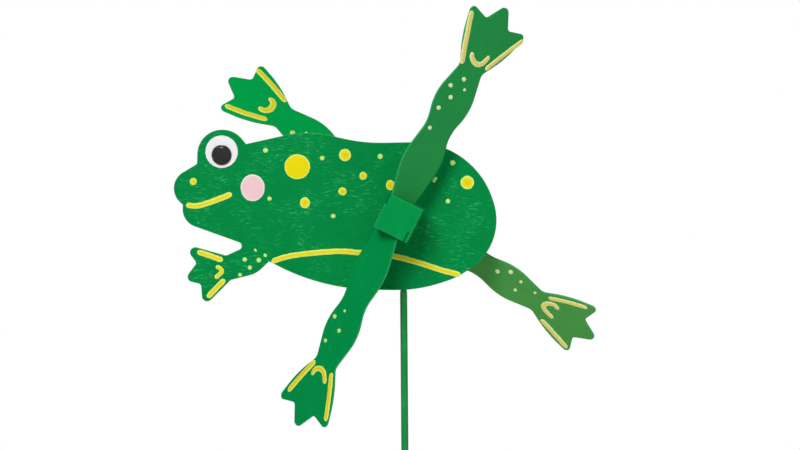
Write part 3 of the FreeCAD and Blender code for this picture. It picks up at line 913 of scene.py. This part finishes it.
class FROG_OT_paint_hubs(bpy.types.Operator):
    """Paint the two hubs and the beads between them and the frog"""

    bl_idname = "frog.paint_hubs"
    bl_label = "Paint hubs"

    def execute(self, context):
        paint = context.scene.frog_paint.hub
        for hub, bead, turn in (
            ("front_hub", "front_bead", LEGS[0].turn),
            ("rear_hub", "rear_bead", LEGS[2].turn),
        ):
            to_hub = Matrix.Rotation(math.radians(turn), 4, "Y")
            low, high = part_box(hub)
            to_middle = to_hub @ Matrix.Translation((-AXLE.x, -(low.y + high.y) / 2, -AXLE.z))
            starts = HUB_SIDE / 2 - 0.52 * MM
            full = HUB_SIDE / 2 - 0.28 * MM
            give(hub, paint_material(
                f"{hub}_paint", paint, to_local=to_hub, length=0.02, width=0.0015, uneven=0.14,
                flecks=0.15, relief=0.00008, edges=Edges(to_middle, starts, full, block=True)))
            give(bead, paint_material(f"{bead}_paint", paint, uneven=0.14, flecks=0.15))
        return {"FINISHED"}


class FROG_OT_paint_stick(bpy.types.Operator):
    """Paint the stick along its length"""

    bl_idname = "frog.paint_stick"
    bl_label = "Paint stick"

    def execute(self, context):
        paint = context.scene.frog_paint.stick
        upright = Matrix.Rotation(math.radians(90), 4, "Y")
        give("stick", paint_material(
            "stick_paint", paint, to_local=upright, length=0.012, width=0.001, uneven=0.35,
            flecks=0.5, relief=0.00015))
        return {"FINISHED"}


class FROG_OT_finish_axle(bpy.types.Operator):
    """Give the axle its bare wood and the bearing its brass"""

    bl_idname = "frog.finish_axle"
    bl_label = "Finish axle"

    def execute(self, context):
        give("axle", plain_material("bare_wood", (0.55, 0.38, 0.2), 0.6, relief=0.00006))
        give("bearing_tube", plain_material("brass", (0.78, 0.57, 0.25), 0.28, metallic=1.0))
        return {"FINISHED"}


class FROG_OT_make_eye(bpy.types.Operator):
    """Finish the wiggle eye: a white back, a loose black pupil and a clear dome"""

    bl_idname = "frog.make_eye"
    bl_label = "Make eye"

    def execute(self, context):
        give("eye_back", plain_material("white_plastic", (0.95, 0.94, 0.97), 0.3))
        give("eye_pupil", plain_material("black_plastic", (0.012, 0.012, 0.012), 0.5, specular=0.1))
        give("eye_dome", self.clear_plastic())
        smooth = NODES["eye_dome"]
        for polygon in smooth.data.polygons:
            polygon.use_smooth = True
        return {"FINISHED"}

    def clear_plastic(self):
        """Clear plastic that lets the lamps light what is under it."""
        material, tree, shader = new_material("clear_plastic")
        set_inputs(
            shader, Base_Color=(1.0, 1.0, 1.0, 1.0), Roughness=0.03, IOR=1.15,
            Transmission_Weight=1.0)
        light_path = add_node(tree, "ShaderNodeLightPath", "Ray", (-200, 400))
        lights = math_node(
            tree, "ADD", "Lights what is inside", (0, 400),
            light_path.outputs["Is Shadow Ray"], light_path.outputs["Is Diffuse Ray"])
        lights = math_node(tree, "MINIMUM", "Once", (200, 400), lights, 1.0)
        clear = add_node(tree, "ShaderNodeBsdfTransparent", "Lets light in", (400, 250))
        mix = add_node(tree, "ShaderNodeMixShader", "By ray", (600, 200))
        output = tree.nodes["Output"]
        output.location = (850, 100)
        link(tree, lights, mix.inputs[0])
        link(tree, shader.outputs[0], mix.inputs[1])
        link(tree, clear.outputs[0], mix.inputs[2])
        link(tree, mix.outputs[0], output.inputs["Surface"])
        return material


class FROG_OT_mark_body(bpy.types.Operator):
    """Dab the dots, the cheek, the mouth and the belly line on the frog"""

    bl_idname = "frog.mark_body"
    bl_label = "Mark body"

    def execute(self, context):
        colours = context.scene.frog_paint
        marks = context.scene.frog_marks
        place = plate_frame()
        for name, dots, paint in (
            ("body_dots", BODY_DOTS, "yellow_paint"),
            ("large_dot", LARGE_DOT, "large_yellow_paint"),
            ("body_specks", BODY_SPECKS, "speck_paint"),
            ("cheek", CHEEK, "pink_paint"),
        ):
            mesh = dot_mesh(name, dots, mark_paint(paint, colours), marks)
            add_piece(mesh, name, place, "frog")
        for name, strokes, paint in (
            ("body_strokes", BODY_STROKES, "stroke_paint"),
            ("body_dashes", BODY_DASHES, "speck_paint"),
        ):
            mesh = stroke_mesh(name, strokes, mark_paint(paint, colours), marks)
            add_piece(mesh, name, place, "frog")
        return {"FINISHED"}


class FROG_OT_mark_legs(bpy.types.Operator):
    """Dab the dots and the toe strokes on the legs"""

    bl_idname = "frog.mark_legs"
    bl_label = "Mark legs"

    def execute(self, context):
        colours = context.scene.frog_paint
        marks = context.scene.frog_marks
        for leg in LEGS:
            place = leg_frame(leg)
            # A leg that faces away from the lamp gets the paler paints: painted light for the light
            # it lacks.
            pale = "painted_lit_" if leg.pale else ""
            name = f"{leg.node}_specks"
            paint = mark_paint(f"{pale}speck_paint", colours)
            mesh = dot_mesh(name, leg.dots, paint, marks)
            add_piece(mesh, name, place, "rotor")
            name = f"{leg.node}_strokes"
            paint = mark_paint(f"{pale}stroke_paint", colours)
            mesh = stroke_mesh(name, leg.strokes, paint, marks)
            add_piece(mesh, name, place, "rotor")
        return {"FINISHED"}


class FROG_OT_set_stage(bpy.types.Operator):
    """Lay the floor, hang the lamps and place the camera"""

    bl_idname = "frog.set_stage"
    bl_label = "Set stage"

    def execute(self, context):
        studio = context.scene.frog_studio
        self.lay_floor()
        self.light_world(studio)
        middle = AXLE.copy()
        self.hang_lamp(
            "main_lamp", middle, direction=Vector((-0.17, -1.0, 0.56)), distance=1.3, size=0.5,
            power=studio.key_power)
        self.hang_lamp(
            "fill_lamp", middle, direction=Vector((0.9, -1.0, 0.1)), distance=1.4, size=1.2,
            power=studio.fill_power)
        self.hang_lamp(
            "back_lamp", middle, direction=Vector((-0.3, 1.0, 0.8)), distance=1.3, size=0.6,
            power=studio.back_power)
        self.place_camera(context.scene, studio)
        context.scene.view_settings.view_transform = "Standard"
        return {"FINISHED"}

    def lay_floor(self):
        """A pale round floor that fades to white at its edge."""
        radius = 0.9
        sides = 96
        mesh = bpy.data.meshes.new("floor")
        corners = []
        for i in range(sides):
            angle = 2 * math.pi * i / sides
            corners.append((radius * math.cos(angle), radius * math.sin(angle), STICK_FOOT))
        mesh.from_pydata(corners, [], [tuple(range(sides))])
        floor = bpy.data.objects.new("floor", mesh)
        bpy.context.scene.collection.objects.link(floor)

        material = bpy.data.materials.new("floor_paper")
        material.use_nodes = True
        tree = material.node_tree
        tree.nodes.clear()
        place = add_node(tree, "ShaderNodeTexCoord", "Place", (-900, 0))
        length = vector_node(
            tree, "LENGTH", "From the middle", (-700, 0), place.outputs["Object"])
        fade = add_node(
            tree, "ShaderNodeMapRange", "Fade", (-500, 0), interpolation_type="SMOOTHSTEP")
        set_inputs(fade, From_Min=0.3, From_Max=radius - 0.05, To_Min=0.45, To_Max=1.0)
        link(tree, length, fade.inputs["Value"])
        paper = add_node(tree, "ShaderNodeBsdfDiffuse", "Paper", (-300, -150))
        paper.inputs["Color"].default_value = (0.8, 0.8, 0.8, 1.0)
        white = add_node(tree, "ShaderNodeEmission", "White", (-300, -300))
        white.inputs["Color"].default_value = (1.0, 1.0, 1.0, 1.0)
        seen = seen_or_reflected(tree, (-700, 300))
        share = math_node(tree, "MULTIPLY", "White share", (-200, 100), seen, fade.outputs[0])
        mix = add_node(tree, "ShaderNodeMixShader", "Floor", (0, 0))
        output = add_node(tree, "ShaderNodeOutputMaterial", "Output", (200, 0))
        link(tree, share, mix.inputs[0])
        link(tree, paper.outputs[0], mix.inputs[1])
        link(tree, white.outputs[0], mix.inputs[2])
        link(tree, mix.outputs[0], output.inputs["Surface"])
        mesh.materials.append(material)

    def light_world(self, studio):
        """White where it is seen, and a plain soft light elsewhere."""
        world = bpy.data.worlds.new("studio")
        bpy.context.scene.world = world
        world.use_nodes = True
        tree = world.node_tree
        tree.nodes.clear()
        seen = seen_or_reflected(tree, (-800, 200))
        soft = add_node(tree, "ShaderNodeBackground", "Soft light", (-400, 0))
        set_inputs(soft, Color=(1.0, 1.0, 1.0, 1.0), Strength=studio.ambient)
        white = add_node(tree, "ShaderNodeBackground", "White", (-400, -150))
        set_inputs(white, Color=(1.0, 1.0, 1.0, 1.0), Strength=1.0)
        mix = add_node(tree, "ShaderNodeMixShader", "World", (-150, 0))
        output = add_node(tree, "ShaderNodeOutputWorld", "Output", (50, 0))
        link(tree, seen, mix.inputs[0])
        link(tree, soft.outputs[0], mix.inputs[1])
        link(tree, white.outputs[0], mix.inputs[2])
        link(tree, mix.outputs[0], output.inputs["Surface"])

    def hang_lamp(self, name, target, direction, distance, size, power):
        """A square lamp in a direction from what it lights."""
        data = bpy.data.lights.new(name, "AREA")
        data.energy = power
        data.size = size
        lamp = bpy.data.objects.new(name, data)
        bpy.context.scene.collection.objects.link(lamp)
        lamp.location = target + direction.normalized() * distance
        lamp.rotation_euler = (-direction).to_track_quat("-Z", "Y").to_euler()

    def place_camera(self, scene, studio):
        """The photograph's own viewing angle."""
        middle_of_plate = (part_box("body_plate")[0].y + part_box("body_plate")[1].y) / 2
        target = Vector((AXLE.x + LOOK_ASIDE * MM, middle_of_plate, AXLE.z - LOOK_BELOW * MM))
        azimuth, elevation, roll = studio.azimuth, studio.elevation, studio.roll
        right = Vector((math.cos(azimuth), math.sin(azimuth), 0))
        back = Vector((
            math.sin(azimuth) * math.cos(elevation),
            -math.cos(azimuth) * math.cos(elevation),
            math.sin(elevation),
        ))
        up = back.cross(right)
        rolled_right = math.cos(roll) * right + math.sin(roll) * up
        rolled_up = math.cos(roll) * up - math.sin(roll) * right
        data = bpy.data.cameras.new("camera")
        data.lens = studio.lens
        data.sensor_width = 36.0
        data.clip_start = 0.05
        data.clip_end = 20.0
        camera = bpy.data.objects.new("camera", data)
        scene.collection.objects.link(camera)
        turned = Matrix((rolled_right, rolled_up, back)).transposed().to_4x4()
        camera.matrix_world = Matrix.Translation(target + back * studio.distance) @ turned
        scene.camera = camera


STEPS = (
    FROG_OT_paint_body,
    FROG_OT_paint_legs,
    FROG_OT_paint_hubs,
    FROG_OT_paint_stick,
    FROG_OT_finish_axle,
    FROG_OT_make_eye,
    FROG_OT_mark_body,
    FROG_OT_mark_legs,
    FROG_OT_set_stage,
)


class FROG_PT_paint_shop(bpy.types.Panel):
    """Lists the steps and the settings"""

    bl_label = "Frog whirligig"
    bl_idname = "FROG_PT_paint_shop"
    bl_space_type = "VIEW_3D"
    bl_region_type = "UI"
    bl_category = "Frog"

    def draw(self, context):
        scene = context.scene
        for group in (scene.frog_paint, scene.frog_marks, scene.frog_studio):
            box = self.layout.box()
            for name in group.__annotations__:
                box.prop(group, name)
        for step in STEPS:
            self.layout.operator(step.bl_idname)


CLASSES = (FrogPaint, FrogMarks, FrogStudio, *STEPS, FROG_PT_paint_shop)


def register():
    for cls in CLASSES:
        bpy.utils.register_class(cls)
    bpy.types.Scene.frog_paint = PointerProperty(type=FrogPaint)
    bpy.types.Scene.frog_marks = PointerProperty(type=FrogMarks)
    bpy.types.Scene.frog_studio = PointerProperty(type=FrogStudio)


def unregister():
    del bpy.types.Scene.frog_studio
    del bpy.types.Scene.frog_marks
    del bpy.types.Scene.frog_paint
    for cls in reversed(CLASSES):
        bpy.utils.unregister_class(cls)


def main():
    """Run every step in order."""
    register()
    for step in STEPS:
        group, name = step.bl_idname.split(".")
        getattr(getattr(bpy.ops, group), name)()


if __name__ == "__main__":
    main()
